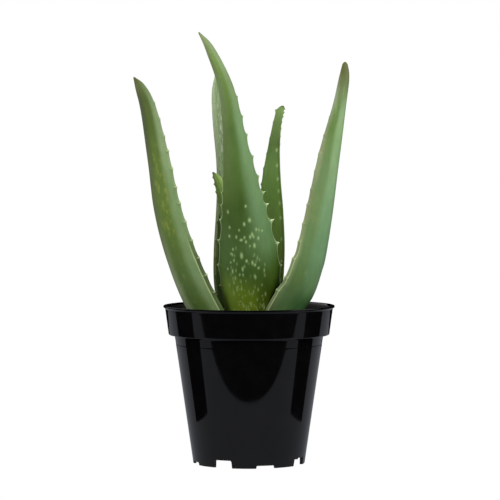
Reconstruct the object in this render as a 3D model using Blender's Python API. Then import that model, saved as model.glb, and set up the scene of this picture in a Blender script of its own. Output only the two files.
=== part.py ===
"""A young aloe growing in a black plastic grower's pot, at full size in metres.

+Z is up and z = 0 is the surface the pot stands on. -Y is the front. The pot, the soil, the short
stem and the leaves are built about the pot's own axis, and one empty then carries all of them so
that the whole plant is centred over the origin.
"""

from math import cos, exp, pi, radians, sin

import bpy
import numpy as np

MM = 0.001

# ---- grower's pot, nominal 6 in -------------------------------------------------------------
LIP_RADIUS = 76.0 * MM          # outside of the flared lip
POT_HEIGHT = 140.0 * MM
BAND_HEIGHT = 26.0 * MM         # the collar under the lip
BAND_STEP = 5.2 * MM            # how far the collar stands out from the body
BAND_DRAFT = 3.0 * MM           # how much the collar narrows from top to bottom
LIP_FLARE = 1.8 * MM
LIP_THICKNESS = 2.2 * MM
FOOT_RADIUS = 49.5 * MM         # outside of the body where it meets the floor
WALL = 1.3 * MM
BASE_RISE = 8.0 * MM            # underside of the raised base above the floor
BASE_THICKNESS = 1.6 * MM
FOOT_SOLE = 2.6 * MM            # width of the feet where they stand
FEET = 8
GAP_ANGLE = 20.0                # degrees of wall cut away between two feet
FIRST_GAP = -27.5               # degrees from the front, towards +X
DRAIN_NOTCH = 6.8 * MM          # height of every other gap, which drains
SHALLOW_GAP = 2.5 * MM          # height of the gaps between those
DRAIN_HOLE_RADIUS = 5.0 * MM
DRAIN_HOLE_RING = 30.0 * MM
DRAIN_HOLES = 6
POT_SEGMENTS = 72

# ---- soil and stem --------------------------------------------------------------------------
CLEARANCE = 0.35 * MM           # left between pieces that touch
SOIL_BELOW_LIP = 22.0 * MM
SOIL_LUMP = 1.3 * MM            # height of the lumps on its top
SOIL_SEGMENTS = 48
STEM_RADIUS = 13.0 * MM
STEM_LENGTH = 24.0 * MM
STEM_TOP = 9.0 * MM             # how far the crown lies below the soil surface

# ---- leaves ---------------------------------------------------------------------------------
TOOTH_REACH = 2.6 * MM          # how far a marginal tooth stands out near the base
TOOTH_REACH_TIP = 1.1 * MM
TOOTH_ROOT = 2.6 * MM           # half the length of a tooth along the margin
TOOTH_PITCH = 16.0 * MM
FIRST_TOOTH = 26.0 * MM         # from the buried base, so that none lies in the soil
SECTION_STEPS = 6               # steps across a leaf from one margin to the other

# Each leaf runs through its stations, base to tip: x and y from the pot's axis, height above the
# soil surface, width, thickness, how deeply the section is cupped, all in mm, and the compass
# bearing in degrees that the outer face looks to.
LEAVES = {
    "leaf_inner": [
        (-1, 1, -8, 16, 8, 4, -80), (-6, 2, 32, 21, 9, 5, -80), (-11.3, 3, 72, 18, 8, 4, -80),
        (-19.0, 4, 104, 14, 6.5, 3, -80), (-21.8, 4, 115, 11.8, 5.5, 2, -80), (-25.6, 5, 128, 9.4, 4, 1, -80),
        (-28.6, 5, 135, 6.6, 3, 0.5, -80), (-32.4, 6, 140, 1.2, 1, 0, -80),
    ],
    "leaf_back_right": [
        (8, 9, -14, 26, 11, 7, 62), (15.5, 14, 32, 34, 11, 8, 62), (20, 20, 67, 30, 10, 7, 62),
        (21, 26, 102, 24.5, 8.5, 5, 62), (20.8, 30, 132, 19.2, 7, 4, 62), (22.6, 34, 159, 12.6, 5.5, 2.5, 62),
        (25.4, 37, 182, 8.8, 4, 1, 62), (28.2, 38.5, 194.2, 7.6, 3, 0.4, 62), (31.2, 39, 199, 2.2, 1.2, 0, 62),
    ],
    "leaf_back_left": [
        (-8, 9, -14, 30, 12, 8, 128), (-18, 14, 32, 36, 12, 9, 132), (-20.2, 20, 68, 37, 11, 8, 138),
        (-19.8, 25, 114, 33, 9.5, 6, 147), (-22.4, 29, 150, 27.5, 8, 4.5, 156),
        (-28, 33, 192, 22, 6.5, 3, 162), (-30, 35, 212, 15.5, 5, 1.8, 164),
        (-30.3, 36, 226.5, 1.2, 1, 0, 166),
    ],
    "leaf_front": [
        (2, -12, -14, 34, 13, 8, -90), (2.2, -20, 19, 47, 14, 9, -90), (0.2, -29, 60, 53.5, 13, 9, -90),
        (-4.8, -34, 110, 38.5, 11, 7, -90), (-11.6, -37, 164, 22.5, 8, 4.5, -88),
        (-19.5, -37, 212, 13.8, 6, 2.4, -86), (-33.6, -36, 247, 8, 4, 1.2, -84),
        (-43.9, -35, 262.5, 1.2, 1, 0, -84),
    ],
    "leaf_left": [
        (-19, -8, -14, 34, 13, 8, 216), (-43, -15, 24, 43, 14, 9, 216), (-61, -20, 67, 41, 13, 8, 216),
        (-73.1, -24, 109.7, 36, 11, 7, 216), (-80.3, -27, 152, 31, 9, 5, 216),
        (-88.6, -30, 194.8, 23, 6.5, 3, 216), (-95, -32, 214, 15, 4.5, 1.5, 216),
        (-100.4, -34, 223.6, 1.2, 1, 0, 216),
    ],
    "leaf_right": [
        (15, -14, -12, 34, 13, 8, -50), (37.5, -22, 25.5, 38, 14, 9, -48), (45.8, -25, 39, 38, 14, 9, -47),
        (52.3, -27.5, 57, 37, 13, 8, -46), (56.7, -29, 72, 35, 12.5, 7.5, -45), (64.2, -32, 113, 32, 11, 6, -42),
        (71.3, -36, 155.8, 27, 9, 5, -40), (79.2, -39, 198, 16, 7, 3, -40), (83, -41, 223, 12.5, 5.5, 1.5, -40),
        (83.4, -42, 236.5, 5.5, 2.5, 0, -40),
    ],
}

COLOURS = {
    "pot": ((0.012, 0.012, 0.014, 1), 0.22),
    "soil": ((0.045, 0.030, 0.020, 1), 0.95),
    "stem": ((0.30, 0.26, 0.13, 1), 0.70),
    "leaf_inner": ((0.16, 0.27, 0.09, 1), 0.45),
    "leaf_back_right": ((0.15, 0.23, 0.12, 1), 0.45),
    "leaf_back_left": ((0.19, 0.26, 0.15, 1), 0.45),
    "leaf_front": ((0.10, 0.17, 0.05, 1), 0.40),
    "leaf_left": ((0.09, 0.17, 0.06, 1), 0.40),
    "leaf_right": ((0.07, 0.15, 0.05, 1), 0.40),
}

SOIL_LEVEL = POT_HEIGHT - SOIL_BELOW_LIP
BAND_BOTTOM = POT_HEIGHT - BAND_HEIGHT
BAND_TOP_RADIUS = LIP_RADIUS - LIP_FLARE
BAND_BOTTOM_RADIUS = BAND_TOP_RADIUS - BAND_DRAFT
BODY_TOP_RADIUS = BAND_BOTTOM_RADIUS - BAND_STEP


def add_object(name, points, faces, smooth=True, cutter=False):
    """One closed mesh object, with its own material unless it only cuts."""
    mesh = bpy.data.meshes.new(name)
    mesh.from_pydata([tuple(float(v) for v in p) for p in points], [], faces)
    mesh.validate()
    if smooth:
        mesh.shade_smooth()
        mesh.set_sharp_from_angle(angle=radians(35))
    thing = bpy.data.objects.new(name, mesh)
    bpy.context.scene.collection.objects.link(thing)
    if cutter:
        thing.hide_render = True
        thing.display_type = "WIRE"
        return thing
    colour, roughness = COLOURS[name]
    material = bpy.data.materials.new(name)
    material.use_nodes = True
    shader = material.node_tree.nodes["Principled BSDF"]
    shader.inputs["Base Color"].default_value = colour
    shader.inputs["Roughness"].default_value = roughness
    mesh.materials.append(material)
    return thing


def cut(target, cutter):
    modifier = target.modifiers.new("cut " + cutter.name, "BOOLEAN")
    modifier.operation = "DIFFERENCE"
    modifier.solver = "EXACT"
    modifier.object = cutter


def turned(profile, segments):
    """Points and faces of a profile turned about Z. It runs from the axis down the outer side and
    back to the axis, as (radius, height), and its two ends lie on the axis."""
    points = [(0, 0, profile[0][1])]
    for radius, height in profile[1:-1]:
        for k in range(segments):
            angle = 2 * pi * k / segments
            points.append((radius * sin(angle), -radius * cos(angle), height))
    points.append((0, 0, profile[-1][1]))
    last = len(points) - 1
    faces = []
    rings = len(profile) - 2
    for k in range(segments):
        after = (k + 1) % segments
        faces.append((0, 1 + k, 1 + after))
        for ring in range(rings - 1):
            near, far = 1 + ring * segments, 1 + (ring + 1) * segments
            faces.append((near + k, far + k, far + after, near + after))
        bottom = 1 + (rings - 1) * segments
        faces.append((last, bottom + after, bottom + k))
    return points, faces


# ---- pot ------------------------------------------------------------------------------------
def body_radius(height):
    """Outside of the tapered body."""
    return FOOT_RADIUS + (BODY_TOP_RADIUS - FOOT_RADIUS) * height / BAND_BOTTOM


def pot_inside(clearance=0.0):
    """Inside of the pot from the lip down to the base, as (radius, height)."""
    floor = BASE_RISE + BASE_THICKNESS
    ledge = BAND_BOTTOM + WALL
    return [
        (BAND_TOP_RADIUS - WALL - clearance, POT_HEIGHT - LIP_THICKNESS),
        (BAND_BOTTOM_RADIUS - WALL - clearance, ledge + 1.2 * MM + clearance),
        (BAND_BOTTOM_RADIUS - WALL - 1.2 * MM - clearance, ledge + clearance),
        (body_radius(ledge) - WALL + 0.6 * MM - clearance, ledge + clearance),
        (body_radius(ledge) - WALL - clearance, ledge - 0.8 * MM),
        (body_radius(floor + 3 * MM) - WALL - clearance, floor + 3 * MM),
        (body_radius(floor) - WALL - 1.5 * MM - clearance, floor + clearance),
    ]


def make_pot():
    top = POT_HEIGHT
    outside = [
        (LIP_RADIUS - 0.9 * MM, top),
        (LIP_RADIUS - 0.2 * MM, top - 0.3 * MM),
        (LIP_RADIUS, top - 0.9 * MM),
        (LIP_RADIUS - 0.2 * MM, top - 1.5 * MM),
        (BAND_TOP_RADIUS + 0.4 * MM, top - LIP_THICKNESS),
        (BAND_TOP_RADIUS, top - LIP_THICKNESS - 1.0 * MM),
        (BAND_BOTTOM_RADIUS, BAND_BOTTOM + 0.9 * MM),
        (BAND_BOTTOM_RADIUS - 0.7 * MM, BAND_BOTTOM),
        (BODY_TOP_RADIUS + 0.5 * MM, BAND_BOTTOM),
        (BODY_TOP_RADIUS, BAND_BOTTOM - 0.6 * MM),
        (body_radius(40 * MM), 40 * MM),
        (FOOT_RADIUS, 0.0),
        (FOOT_RADIUS - FOOT_SOLE, 0.0),
        (FOOT_RADIUS - FOOT_SOLE + 0.4 * MM, BASE_RISE),
    ]
    inside = pot_inside()
    lip = [(BAND_TOP_RADIUS - WALL + 0.5 * MM, top - 0.5 * MM), (LIP_RADIUS - 1.9 * MM, top)]
    profile = [(0, BASE_RISE + BASE_THICKNESS)] + inside[::-1] + lip + outside + [(0, BASE_RISE)]
    points, faces = turned(profile, POT_SEGMENTS)
    pot = add_object("pot", points, [face[::-1] for face in faces])

    for k in range(FEET):
        height = DRAIN_NOTCH if k % 2 == 0 else SHALLOW_GAP
        middle = radians(FIRST_GAP + 360.0 * k / FEET)
        cut(pot, gap_cutter(k, middle, height))
    for k in range(DRAIN_HOLES):
        angle = 2 * pi * (k + 0.5) / DRAIN_HOLES
        cut(pot, hole_cutter(k, DRAIN_HOLE_RING * sin(angle), -DRAIN_HOLE_RING * cos(angle)))
    return pot


def gap_cutter(number, middle, height):
    """A wedge through the skirt, with the gap's upper corners taken off."""
    near = FOOT_RADIUS - FOOT_SOLE - 4 * MM
    far = FOOT_RADIUS + 6 * MM
    half = radians(GAP_ANGLE / 2)
    corner = min(0.8 * MM, height / 3) / FOOT_RADIUS
    outline = [(-half, -2 * MM), (half, -2 * MM), (half, height - corner * FOOT_RADIUS),
               (half - corner, height), (-half + corner, height),
               (-half, height - corner * FOOT_RADIUS)]
    points = []
    for radius in (near, far):
        for swing, z in outline:
            angle = middle + swing
            points.append((radius * sin(angle), -radius * cos(angle), z))
    count = len(outline)
    faces = [tuple(range(count))[::-1], tuple(range(count, 2 * count))]
    for k in range(count):
        after = (k + 1) % count
        faces.append((k, after, count + after, count + k))
    return add_object("gap cutter %d" % number, points, faces, smooth=False, cutter=True)


def hole_cutter(number, x, y, sides=16):
    low, high = BASE_RISE - 3 * MM, BASE_RISE + BASE_THICKNESS + 3 * MM
    points = []
    for z in (low, high):
        for k in range(sides):
            angle = 2 * pi * (k + 0.5) / sides
            points.append((x + DRAIN_HOLE_RADIUS * cos(angle), y + DRAIN_HOLE_RADIUS * sin(angle), z))
    faces = [tuple(range(sides))[::-1], tuple(range(sides, 2 * sides))]
    for k in range(sides):
        after = (k + 1) % sides
        faces.append((k, after, sides + after, sides + k))
    return add_object("hole cutter %d" % number, points, faces, smooth=False, cutter=True)


# ---- soil and stem --------------------------------------------------------------------------
def soil_height(x, y):
    """Gently lumpy, and heaped a little towards the plant."""
    u, v = x / MM, y / MM
    lumps = sin(u * 0.21 + 0.6) * cos(v * 0.17 - 0.3) + 0.6 * sin(u * 0.47 + v * 0.39)
    return SOIL_LEVEL + SOIL_LUMP * 0.5 * lumps + 1.5 * MM * exp(-((u * u + v * v) / 1400.0))


def make_soil():
    inside = pot_inside(CLEARANCE)
    for (radius, height), (next_radius, next_height) in zip(inside, inside[1:]):
        if next_height < SOIL_LEVEL <= height:
            share = (height - SOIL_LEVEL) / (height - next_height)
            rim_radius = radius + (next_radius - radius) * share - 0.4 * MM
    rings = [0.16, 0.32, 0.48, 0.62, 0.76, 0.89, 1.0]
    profile = [(0, SOIL_LEVEL)] + [(rim_radius * share, SOIL_LEVEL) for share in rings]
    profile += [point for point in inside if point[1] < SOIL_LEVEL - 1.5 * SOIL_LUMP]
    profile += [(0, inside[-1][1])]
    points, faces = turned(profile, SOIL_SEGMENTS)
    top_points = 1 + len(rings) * SOIL_SEGMENTS
    for k in range(top_points):
        x, y, _ = points[k]
        points[k] = (x, y, soil_height(x, y))
    return add_object("soil", points, faces)


def make_stem(grow=0.0, name="stem", cutter=False):
    """The short stem and crown that every leaf clasps, under the soil."""
    top = SOIL_LEVEL - STEM_TOP + grow
    low = top - STEM_LENGTH - 2 * grow
    radius = STEM_RADIUS + grow
    profile = [(0, top), (radius * 0.45, top - 0.6 * MM), (radius * 0.8, top - 3 * MM),
               (radius, top - 7 * MM), (radius * 0.95, low + 6 * MM), (radius * 0.7, low + 1 * MM),
               (radius * 0.4, low), (0, low)]
    points, faces = turned(profile, 24)
    return add_object(name, points, faces, cutter=cutter)


# ---- leaves ---------------------------------------------------------------------------------
def smooth_line(stations, steps=24):
    """A Catmull-Rom line through the stations, with the run in metres along its middle."""
    pts = np.array(stations, float)
    pts[:, :6] *= MM
    pts[:, 2] += SOIL_LEVEL
    ends = np.vstack([2 * pts[0] - pts[1], pts, 2 * pts[-1] - pts[-2]])
    line = []
    for k in range(len(pts) - 1):
        a, b, c, d = ends[k:k + 4]
        for t in np.linspace(0, 1, steps, endpoint=False):
            line.append(0.5 * (2 * b + (c - a) * t + (2 * a - 5 * b + 4 * c - d) * t ** 2
                               + (3 * b - a - 3 * c + d) * t ** 3))
    line.append(pts[-1])
    line = np.array(line)
    run = np.concatenate([[0], np.cumsum(np.linalg.norm(np.diff(line[:, :3], axis=0), axis=1))])
    return line, run


def leaf_rows(length):
    """(run, tooth reach) of each section: three for a tooth, and one between two teeth."""
    rows = [(0.0, 0.0)]
    at = FIRST_TOOTH
    while at < length - 0.7 * TOOTH_PITCH:
        share = at / length
        reach = TOOTH_REACH + (TOOTH_REACH_TIP - TOOTH_REACH) * share
        rows += [(at - TOOTH_ROOT, 0.0), (at, reach), (at + TOOTH_ROOT, 0.0)]
        step = TOOTH_PITCH * (1.0 + 0.12 * sin(at / MM * 0.37))
        rows.append((at + step / 2, 0.0))
        at += step
    if length - rows[-1][0] > 9 * MM:
        rows.append((rows[-1][0] + 0.5 * (length - rows[-1][0]), 0.0))
    rows.append((length, 0.0))
    return rows


def make_leaf(leaf, grow=0.0, name=None, cutter=False):
    """Sections along the leaf, each a cupped lens that thins to the margins; a grown one is the
    same leaf with that much more all round."""
    line, run = smooth_line(LEAVES[leaf])
    along = np.gradient(line[:, :3], axis=0)
    along /= np.linalg.norm(along, axis=1)[:, None]
    rows = leaf_rows(run[-1])
    across = np.cos(np.linspace(0, pi, SECTION_STEPS + 1))
    points, faces = [], []
    for number, (at, reach) in enumerate(rows):
        values = [np.interp(at, run, line[:, j]) for j in range(7)]
        forward = np.array([np.interp(at, run, along[:, j]) for j in range(3)])
        forward /= np.linalg.norm(forward)
        bearing = radians(values[6])
        outward = np.array([cos(bearing), sin(bearing), 0.0])
        outward -= forward * (outward @ forward)
        outward /= np.linalg.norm(outward)
        side = np.cross(forward, outward)
        middle = np.array(values[:3])
        if number == 0:
            middle = middle - forward * grow
        if number == len(rows) - 1:
            middle = middle + forward * grow
        half = values[3] / 2 + grow
        swell = 1 - across ** 2
        cup = values[5] * (swell - 0.5)
        thick = values[4] / 2 * swell ** 0.6
        reaches = np.where(np.abs(across) > 0.999, reach, 0.0) * np.sign(across)
        outer = [middle + side * (a * half + r) + outward * (c + t + grow) + forward * abs(r) * 0.15
                 for a, r, c, t in zip(across, reaches, cup, thick)]
        inner = [middle + side * a * half + outward * (c - t - grow)
                 for a, c, t in zip(across, cup, thick)]
        if grow:
            # a grown leaf has real edges where the leaf itself comes to a line
            inner[0] = outer[0] - outward * 2 * grow
            inner[-1] = outer[-1] - outward * 2 * grow
            points += outer + inner[::-1]
        else:
            points += outer + inner[-2:0:-1]
    size = len(points) // len(rows)
    for row in range(len(rows) - 1):
        for k in range(size):
            after = (k + 1) % size
            a, b = row * size + k, row * size + after
            faces.append((b, a, a + size, b + size))
    last = (len(rows) - 1) * size
    faces.append(tuple(range(size)))
    faces.append(tuple(range(last + size - 1, last - 1, -1)))
    return add_object(name or leaf, points, faces, cutter=cutter)


# ---- the plant ------------------------------------------------------------------------------
def main():
    for thing in list(bpy.data.objects):
        bpy.data.objects.remove(thing, do_unlink=True)

    pot = make_pot()
    soil = make_soil()
    stem = make_stem()
    stem_cutter = make_stem(CLEARANCE, "stem cutter", cutter=True)
    cut(soil, stem_cutter)

    # Each leaf clasps the stem and the younger leaves inside it, so its base is cut by theirs.
    cutters = [stem_cutter]
    for leaf in LEAVES:
        grown = make_leaf(leaf, CLEARANCE, leaf + " cutter", cutter=True)
        piece = make_leaf(leaf)
        for cutter in cutters:
            cut(piece, cutter)
        cut(soil, grown)
        cutters.append(grown)

    frame = bpy.data.objects.new("plant_frame", None)
    bpy.context.scene.collection.objects.link(frame)
    low, high = np.full(3, 1e9), np.full(3, -1e9)
    for thing in bpy.data.objects:
        if thing.type == "MESH":
            thing.parent = frame
            if not thing.hide_render:
                corners = np.array([tuple(vertex.co) for vertex in thing.data.vertices])
                low, high = np.minimum(low, corners.min(0)), np.maximum(high, corners.max(0))
    frame.location = (-(low[0] + high[0]) / 2, -(low[1] + high[1]) / 2, 0.0)


main()
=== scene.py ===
"""Looks of the potted aloe: living skins for its leaves, potting soil, a glossy pot, and a white
studio. Heights called "height" run up from the soil surface, and bearings are seen from above,
anticlockwise from +X. The front of the plant is -Y."""

from math import cos, pi, radians, sin

import bpy
import numpy as np
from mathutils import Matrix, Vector


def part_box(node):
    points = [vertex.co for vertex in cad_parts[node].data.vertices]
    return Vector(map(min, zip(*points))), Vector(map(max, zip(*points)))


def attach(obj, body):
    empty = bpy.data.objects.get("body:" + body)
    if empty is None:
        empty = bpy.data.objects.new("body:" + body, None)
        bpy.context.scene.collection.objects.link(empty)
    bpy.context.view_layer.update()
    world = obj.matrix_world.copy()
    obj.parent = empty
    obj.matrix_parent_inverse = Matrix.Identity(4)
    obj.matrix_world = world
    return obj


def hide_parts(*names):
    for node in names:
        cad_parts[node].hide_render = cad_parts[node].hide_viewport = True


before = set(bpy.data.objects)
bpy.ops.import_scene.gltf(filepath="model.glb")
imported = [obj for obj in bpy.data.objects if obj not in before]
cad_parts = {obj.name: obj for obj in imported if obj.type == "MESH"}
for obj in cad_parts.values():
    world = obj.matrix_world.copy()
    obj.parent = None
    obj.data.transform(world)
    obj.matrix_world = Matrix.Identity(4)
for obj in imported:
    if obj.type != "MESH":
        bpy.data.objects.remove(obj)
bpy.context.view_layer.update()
MM = 0.001

# ---- where things stand ----
POT_LOW, POT_HIGH = (np.array(corner, float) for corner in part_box("pot"))
AXIS = (POT_LOW[:2] + POT_HIGH[:2]) / 2
POT_TOP = POT_HIGH[2]
LIP_RADIUS = (POT_HIGH[0] - POT_LOW[0]) / 2
SOIL_BELOW_LIP = 22.0 * MM
SOIL_LEVEL = POT_TOP - SOIL_BELOW_LIP


# ---- numbers ----
def smoothstep(low, high, value):
    t = np.clip((np.asarray(value, float) - low) / (high - low), 0, 1)
    return t * t * (3 - 2 * t)


def srgb(red, green, blue):
    """Linear colour of a colour given as it looks on a screen."""
    def line(value):
        value = max(value, 0.0) / 255.0
        return value / 12.92 if value <= 0.04045 else ((value + 0.055) / 1.055) ** 2.4
    return (line(red), line(green), line(blue), 1.0)


# ---- meshes ----
def new_piece(name, points, faces, replaced=None):
    """A smooth mesh that rides on the plant, standing for a CAD node when one is named."""
    mesh = bpy.data.meshes.new(name)
    mesh.from_pydata(np.asarray(points, float).tolist(), [], faces)
    mesh.validate()
    mesh.update()
    mesh.shade_smooth()
    piece = bpy.data.objects.new(name, mesh)
    bpy.context.scene.collection.objects.link(piece)
    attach(piece, "root")
    if replaced:
        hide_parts(replaced)
    return piece


def tube_faces(rows, size):
    """Quads between rows of size points each, with a cap at either end."""
    faces = []
    for row in range(rows - 1):
        start = row * size
        for k in range(size):
            a, b = start + k, start + (k + 1) % size
            faces.append((b, a, a + size, b + size))
    last = (rows - 1) * size
    faces.append(tuple(range(size)))
    faces.append(tuple(range(last + size - 1, last - 1, -1)))
    return faces


def turned_faces(rings, size):
    """Faces of a closed turned shape: one point, then rings of size points each, then one point."""
    last = 1 + rings * size
    bottom = last - size
    faces = []
    for k in range(size):
        after = (k + 1) % size
        faces.append((0, 1 + k, 1 + after))
        for near in range(1, bottom, size):
            far = near + size
            faces.append((near + k, far + k, far + after, near + after))
        faces.append((last, bottom + after, bottom + k))
    return faces


def ring_points(radius, turn, z):
    """Points round the pot's axis, at bearings in radians from the front towards +X."""
    x, y = AXIS[0] + radius * np.sin(turn), AXIS[1] - radius * np.cos(turn)
    return np.stack([x, y, np.broadcast_to(z, turn.shape)], 1).tolist()


def mark(piece, **fields):
    """Numbers on each point of the mesh, which the material's nodes read by name."""
    for name, values in fields.items():
        values = np.asarray(values, np.float32)
        if values.ndim == 2:
            layer = piece.data.attributes.new(name, "FLOAT_VECTOR", "POINT")
            layer.data.foreach_set("vector", values.ravel())
        else:
            layer = piece.data.attributes.new(name, "FLOAT", "POINT")
            layer.data.foreach_set("value", values)


# ---- materials ----
class Skin:
    """One material, built node by node."""

    def __init__(self, name):
        self.material = bpy.data.materials.new(name)
        self.material.use_nodes = True
        self.tree = self.material.node_tree
        self.shader = self.tree.nodes["Principled BSDF"]

    def add(self, kind, **settings):
        node = self.tree.nodes.new(kind)
        for key, value in settings.items():
            setattr(node, key, value)
        return node

    def put(self, socket, value):
        if isinstance(value, bpy.types.NodeSocket):
            self.tree.links.new(value, socket)
        else:
            socket.default_value = value

    def number(self, name):
        return self.add("ShaderNodeAttribute", attribute_name=name).outputs["Fac"]

    def vector(self, name):
        return self.add("ShaderNodeAttribute", attribute_name=name).outputs["Vector"]

    def where(self):
        """The place on the piece itself, in metres."""
        return self.add("ShaderNodeTexCoord").outputs["Object"]

    def finish(self, colour, roughness, normal):
        for name, value in (("Base Color", colour), ("Roughness", roughness), ("Normal", normal)):
            self.put(self.shader.inputs[name], value)
        return self.material

    def math(self, operation, a, b=0.0, clamp=False):
        node = self.add("ShaderNodeMath", operation=operation, use_clamp=clamp)
        self.put(node.inputs[0], a)
        self.put(node.inputs[1], b)
        return node.outputs[0]

    def times(self, *factors):
        product = factors[0]
        for factor in factors[1:]:
            product = self.math("MULTIPLY", product, factor)
        return product

    def tinted(self, colour, tint):
        return self.mix(1.0, colour, tint, "MULTIPLY")

    def mix(self, factor, a, b, blend="MIX"):
        node = self.add("ShaderNodeMix", data_type="RGBA", blend_type=blend)
        self.put(node.inputs[0], factor)
        self.put(node.inputs[6], a)
        self.put(node.inputs[7], b)
        return node.outputs[2]

    def span(self, value, low, high, to_low=0.0, to_high=1.0):
        """value from low to high becomes to_low to to_high, softly."""
        node = self.add("ShaderNodeMapRange", interpolation_type="SMOOTHSTEP")
        for socket, number in zip(node.inputs[:5], (value, low, high, to_low, to_high)):
            self.put(socket, number)
        return node.outputs[0]

    def gradient(self, value, stops):
        """A colour for each (place, colour), with place from 0 to 1."""
        node = self.add("ShaderNodeValToRGB")
        ramp = node.color_ramp
        ramp.interpolation = "LINEAR"
        while len(ramp.elements) < len(stops):
            ramp.elements.new(0.5)
        for element, stop in zip(ramp.elements, stops):
            element.position = stop[0]
        for element, stop in zip(ramp.elements, stops):
            element.color = stop[1]
        self.put(node.inputs["Fac"], value)
        return node.outputs["Color"]

    def noise(self, vector, scale, detail=3.0, roughness=0.5, stretch=(1, 1, 1)):
        mapping = self.add("ShaderNodeMapping")
        self.put(mapping.inputs["Vector"], vector)
        mapping.inputs["Scale"].default_value = stretch
        node = self.add("ShaderNodeTexNoise")
        self.put(node.inputs["Vector"], mapping.outputs["Vector"])
        node.inputs["Scale"].default_value = scale
        node.inputs["Detail"].default_value = detail
        node.inputs["Roughness"].default_value = roughness
        return node.outputs["Fac"]

    def bump(self, height, distance, strength=1.0, before=None):
        node = self.add("ShaderNodeBump")
        node.inputs["Strength"].default_value = strength
        node.inputs["Distance"].default_value = distance
        self.put(node.inputs["Height"], height)
        if before is not None:
            self.put(node.inputs["Normal"], before)
        return node.outputs["Normal"]


# ---- leaves ----
# Base to tip: x and y from the pot's axis, height, width, thickness, how deeply the section is
# cupped, all in mm, and the bearing in degrees that the outer face looks to.
LEAVES = {
    "leaf_inner": [
        (-1, 1, -8, 16, 8, 4, -80), (-6, 2, 32, 21, 9, 5, -80), (-11.3, 3, 72, 18, 8, 4, -80),
        (-19.0, 4, 104, 14, 6.5, 3, -80), (-21.8, 4, 115, 11.8, 5.5, 2, -80), (-25.6, 5, 128, 9.4, 4, 1, -80),
        (-28.6, 5, 135, 6.6, 3, 0.5, -80), (-32.4, 6, 140, 1.2, 1, 0, -80),
    ],
    "leaf_back_right": [
        (8, 9, -14, 26, 11, 7, 62), (15.5, 14, 32, 34, 11, 8, 62), (20, 20, 67, 30, 10, 7, 62),
        (21, 26, 102, 24.5, 8.5, 5, 62), (20.8, 30, 132, 19.2, 7, 4, 62),
        (22.6, 34, 159, 12.6, 5.5, 2.5, 62), (25.4, 37, 182, 8.8, 4, 1, 62),
        (28.2, 38.5, 194.2, 7.6, 3, 0.4, 62), (31.2, 39, 199, 2.2, 1.2, 0, 62),
    ],
    "leaf_back_left": [
        (-8, 9, -14, 30, 12, 8, 128), (-18, 14, 32, 36, 12, 9, 132), (-20.2, 20, 68, 37, 11, 8, 138),
        (-19.8, 25, 114, 33, 9.5, 6, 147), (-22.4, 29, 150, 27.5, 8, 4.5, 156),
        (-28, 33, 192, 22, 6.5, 3, 162), (-30, 35, 212, 15.5, 5, 1.8, 164),
        (-30.3, 36, 226.5, 1.2, 1, 0, 166),
    ],
    "leaf_front": [
        (2, -12, -14, 34, 13, 8, -90), (2.2, -20, 19, 47, 14, 9, -90), (0.2, -29, 60, 53.5, 13, 9, -90),
        (-4.8, -34, 110, 38.5, 11, 7, -90), (-11.6, -37, 164, 22.5, 8, 4.5, -88),
        (-19.5, -37, 212, 13.8, 6, 2.4, -86), (-33.6, -36, 247, 8, 4, 1.2, -84),
        (-43.9, -35, 262.5, 1.2, 1, 0, -84),
    ],
    "leaf_left": [
        (-19, -8, -14, 34, 13, 8, 216), (-43, -15, 24, 43, 14, 9, 216), (-61, -20, 67, 41, 13, 8, 216),
        (-73.1, -24, 109.7, 36, 11, 7, 216), (-80.3, -27, 152, 31, 9, 5, 216),
        (-88.6, -30, 194.8, 23, 6.5, 3, 216), (-95, -32, 214, 15, 4.5, 1.5, 216),
        (-100.4, -34, 223.6, 1.2, 1, 0, 216),
    ],
    "leaf_right": [
        (15, -14, -12, 34, 13, 8, -50), (37.5, -22, 25.5, 38, 14, 9, -48), (45.8, -25, 39, 38, 14, 9, -47),
        (52.3, -27.5, 57, 37, 13, 8, -46), (56.7, -29, 72, 35, 12.5, 7.5, -45),
        (64.2, -32, 113, 32, 11, 6, -42), (71.3, -36, 155.8, 27, 9, 5, -40), (79.2, -39, 198, 16, 7, 3, -40),
        (83, -41, 223, 12.5, 5.5, 1.5, -40), (83.4, -42, 236.5, 5.5, 2.5, 0, -40),
    ],
}

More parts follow.
